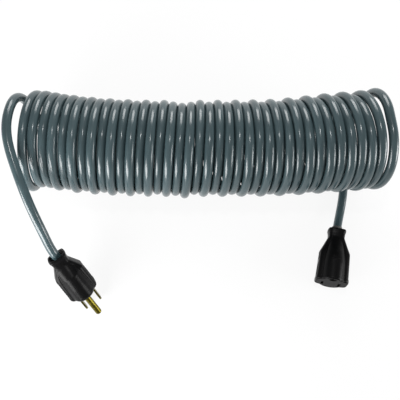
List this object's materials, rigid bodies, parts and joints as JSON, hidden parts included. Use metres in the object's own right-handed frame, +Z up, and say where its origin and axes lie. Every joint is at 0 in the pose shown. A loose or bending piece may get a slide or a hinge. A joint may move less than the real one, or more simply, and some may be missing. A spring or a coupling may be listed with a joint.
{
  "type": "coiled shore power cord",
  "caption": "Self-coiling shore power cord lying on its side, a moulded three-pin plug on one tail and a moulded three-hole connector on the other.",
  "frame": {"origin": "centre of the bounding box's base, on the surface that the coil lies on", "axes": "+X along the coil from the plug's end to the connector's end, +Y away from the plug and connector, +Z up"},
  "size_m": [0.2793, 0.1703, 0.0812],
  "materials": {
    "jacket": "glossy grey vinyl jacket",
    "moulding": "satin black moulded vinyl",
    "bridge": "moulded",
    "carrier": "moulded, satin",
    "sleeve": "matt",
    "pin_brass": "stamped and turned, bright",
    "contact_brass": "stamped",
    "copper": "stranded copper",
    "core_line": "extruded",
    "core_neutral": "extruded",
    "core_earth": "extruded"
  },
  "bodies": {
    "root": {"coil_cord": "jacket", "plug_tail": "jacket", "connector_tail": "jacket", "plug_overmould": "moulding", "plug_bridge": "bridge", "plug_line_blade": "pin_brass", "plug_neutral_blade": "pin_brass", "plug_ground_pin": "pin_brass", "plug_line_wire": "core_line", "plug_neutral_wire": "core_neutral", "plug_ground_wire": "core_earth", "plug_line_strands": "copper", "plug_neutral_strands": "copper", "plug_ground_strands": "copper", "connector_overmould": "moulding", "connector_carrier": "carrier", "connector_sleeve": "sleeve", "connector_line_contact": "contact_brass", "connector_neutral_contact": "contact_brass", "connector_ground_contact": "contact_brass", "connector_line_wire": "core_line", "connector_neutral_wire": "core_neutral", "connector_ground_wire": "core_earth", "connector_line_strands": "copper", "connector_neutral_strands": "copper", "connector_ground_strands": "copper"}
  },
  "joints": []
}
